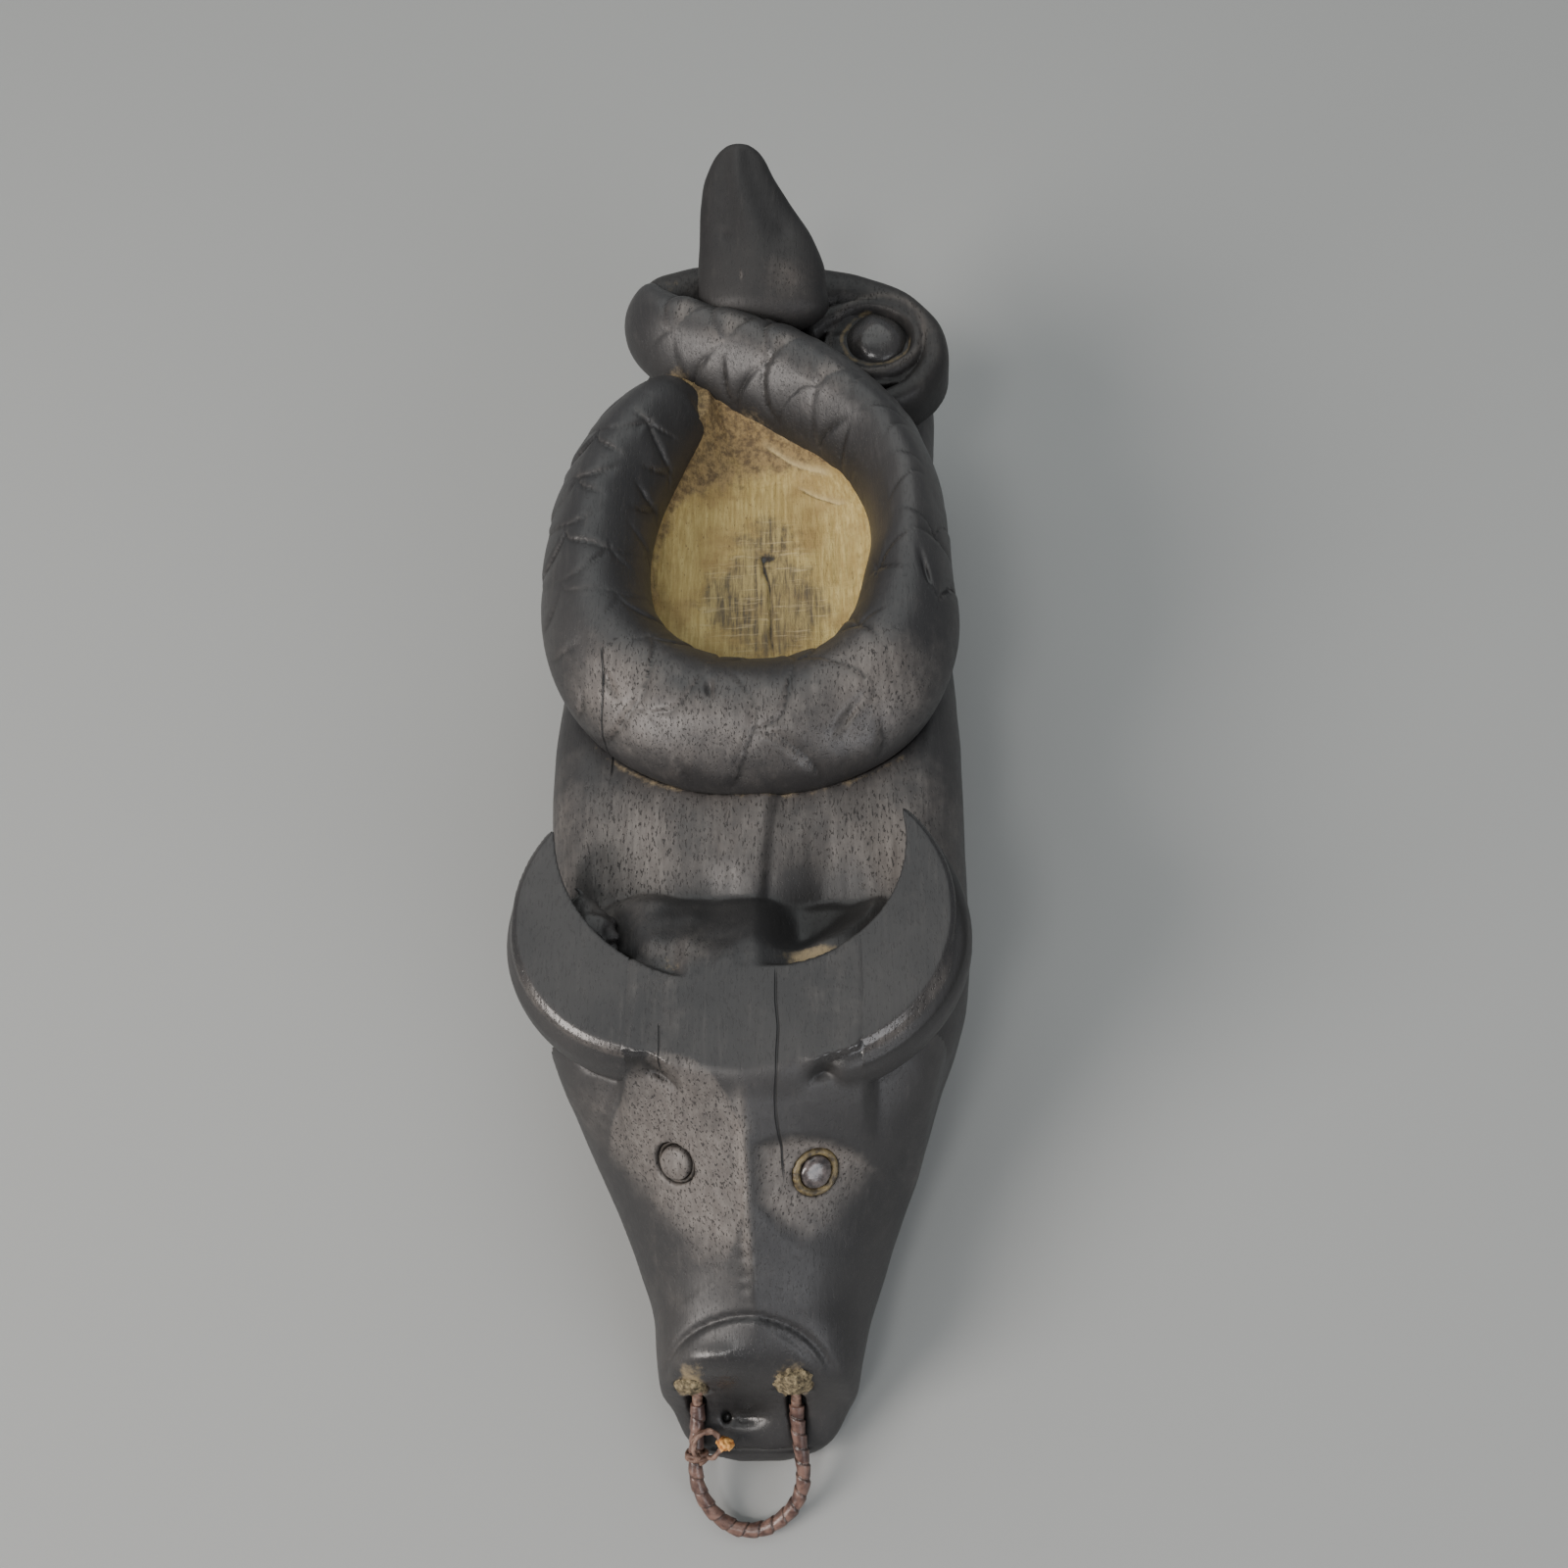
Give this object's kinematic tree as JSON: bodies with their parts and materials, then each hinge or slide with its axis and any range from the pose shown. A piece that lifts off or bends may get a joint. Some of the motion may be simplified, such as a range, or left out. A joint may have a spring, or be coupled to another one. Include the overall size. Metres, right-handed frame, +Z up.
{
  "type": "carved ox yoke ornament",
  "caption": "Long carved dark-wood ox head and neck with flat crescent horns, a coiled snake round a dished well, and a swinging bound nose ring.",
  "frame": {"origin": "on the flat base, below the middle of the ox's neck", "axes": "+Z up from the flat base, -Y towards the ox's muzzle, +Y towards the snake's snout, +X to the viewer's right when facing the muzzle's tip from the front"},
  "size_m": [0.0841, 0.2595, 0.0833],
  "materials": {
    "dark_wood": "near-black hand-polished hardwood, satin on the flats, worn paler on the raised scales",
    "pale_wood": "raw ochre wood, matt",
    "bedding": "dull yellow-brown resin or wax bedding",
    "packing": "pale granular packing, matt",
    "cord": "brown twisted cord",
    "binding": "brown flat strip wound in stepped turns, low sheen",
    "tie_end": "orange-brown cut end of the tie"
  },
  "bodies": {
    "carving": {"ox_block": "dark_wood", "left_horn": "dark_wood", "right_horn": "dark_wood", "horn_dowels": "pale_wood", "left_eye": "dark_wood", "right_eye": "dark_wood", "left_eye_bedding": "bedding", "right_eye_bedding": "bedding", "well_floor": "pale_wood", "snake_coil": "dark_wood", "snake_tail": "dark_wood", "snake_head": "dark_wood", "tail_peg": "dark_wood", "coil_dowels": "pale_wood", "head_dowel": "pale_wood", "left_nostril_packing": "packing", "right_nostril_packing": "packing"},
    "nose_ring": {"ring_core": "cord", "ring_binding": "binding", "ring_tie": "cord", "tie_end": "tie_end"}
  },
  "joints": [
    {"name": "nose_ring_swing", "type": "hinge", "parent": "carving", "child": "nose_ring", "pos_m": [-0.0029, -0.1004, 0.0164], "axis": [-1, 0, 0], "range_deg": [0, 60]}
  ]
}
